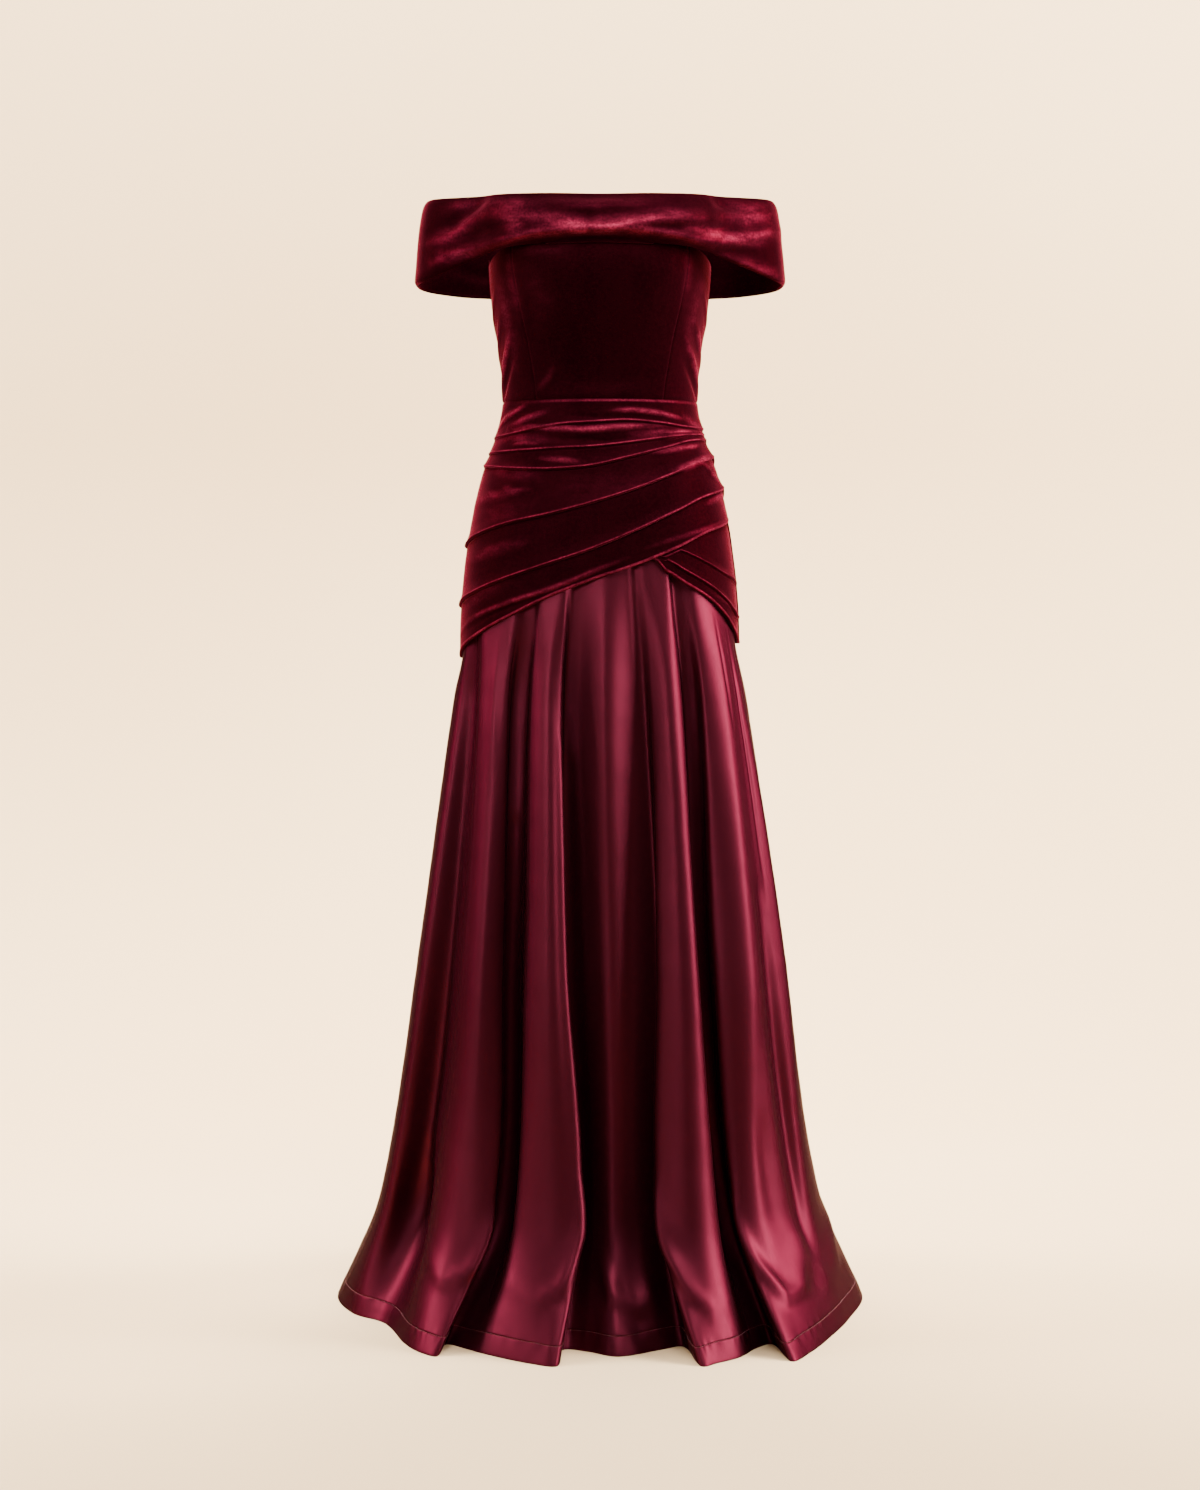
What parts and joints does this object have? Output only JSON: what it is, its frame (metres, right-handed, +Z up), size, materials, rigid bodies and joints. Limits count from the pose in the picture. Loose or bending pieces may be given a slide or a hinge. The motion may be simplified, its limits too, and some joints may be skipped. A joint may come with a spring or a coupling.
{
  "type": "maxi dress",
  "caption": "Off-the-shoulder floor-length evening gown with a velvet bodice, a pleated velvet hip drape and a fluted satin skirt, in worn form and hollow.",
  "frame": {"origin": "centre of the waist seam, where the wearer holds the gown up", "axes": "+Z up along the body, -Y out of the front, +X to the wearer's left; the hem stands on the floor at z = -1.127 m"},
  "size_m": [0.666, 0.6623, 1.3751],
  "materials": {
    "velvet": "deep burgundy pile velvet with a soft sheen",
    "satin": "burgundy satin with a smooth lustre"
  },
  "bodies": {
    "root": {"bodice_front_centre": "velvet", "bodice_side_front_right": "velvet", "bodice_side_front_left": "velvet", "bodice_back_left": "velvet", "bodice_back_right": "velvet", "hip_wrap_front": "velvet", "hip_back_left": "velvet", "hip_back_right": "velvet", "hip_underwrap_left": "velvet", "skirt_front": "satin", "skirt_back": "satin", "band_front": "velvet", "band_back": "velvet"}
  },
  "joints": []
}
